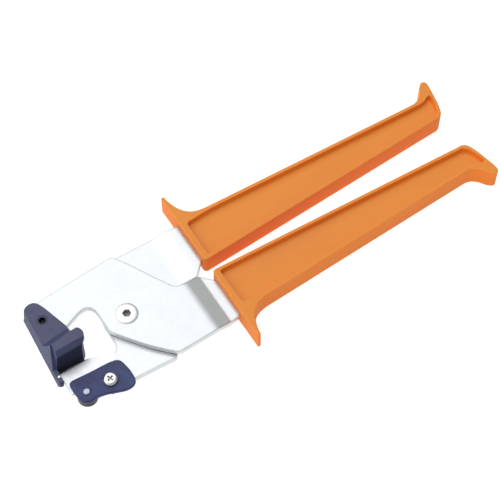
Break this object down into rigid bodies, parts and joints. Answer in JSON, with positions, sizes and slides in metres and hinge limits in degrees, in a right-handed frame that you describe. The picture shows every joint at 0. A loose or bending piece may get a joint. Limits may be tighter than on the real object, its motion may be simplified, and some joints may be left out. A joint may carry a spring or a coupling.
{
  "type": "nibbler pliers",
  "caption": "Long-handled nibbler pliers for slate, tile and siding: two joggled steel levers on one pivot, a clamped blade and a tall anvil jaw.",
  "frame": {"origin": "on the pivot axis, in the plane of the bench the tool lies on: the middle of the flat end face of the pivot barrel nut, level with the lower rims of both handles", "axes": "+X along the tool from the jaws to the handle ends, +Y towards the fixed handle, +Z towards the side with the clamp plate and the anvil block"},
  "size_m": [0.2578, 0.0952, 0.0231],
  "materials": {
    "zinc_lever_plate": "zinc plated, clear, finely rolled, semi-bright",
    "orange_grip": "moulded orange plastic, fine satin grain",
    "navy_paint": "navy enamel, satin",
    "blade_steel": "hardened tool steel, ground",
    "bright_hardware": "bright zinc-plated fasteners",
    "rivet_steel": "plated steel rivet and pin",
    "black_hardware": "black oxide",
    "washer_steel": "zinc plated washers",
    "bronze_shim": "bronze bearing strip",
    "dowel_steel": "ground hardened pin steel"
  },
  "bodies": {
    "fixed_lever": {"lower_lever_plate": "zinc_lever_plate", "upper_grip": "orange_grip", "cutting_blade": "blade_steel", "blade_clamp_plate": "navy_paint", "clamp_screw": "bright_hardware", "clamp_screw_washer": "washer_steel", "clamp_screw_nut": "bright_hardware", "front_rivet": "rivet_steel", "front_bush": "black_hardware", "front_rivet_washer": "washer_steel", "pivot_screw": "bright_hardware", "pivot_shim_washer": "bronze_shim", "pivot_tail_washer": "washer_steel", "pivot_barrel_nut": "bright_hardware"},
    "moving_lever": {"upper_lever_plate": "zinc_lever_plate", "lower_grip": "orange_grip", "anvil_jaw_block": "navy_paint", "anvil_screw": "black_hardware", "anvil_screw_washer": "washer_steel", "anvil_screw_nut": "bright_hardware", "anvil_dowel_pins": "dowel_steel", "nose_pin": "dowel_steel"}
  },
  "joints": [
    {"name": "pivot_hinge", "type": "hinge", "parent": "fixed_lever", "child": "moving_lever", "pos_m": [0, 0, 0], "axis": [0, 0, -1], "range_deg": [0, 22]}
  ]
}
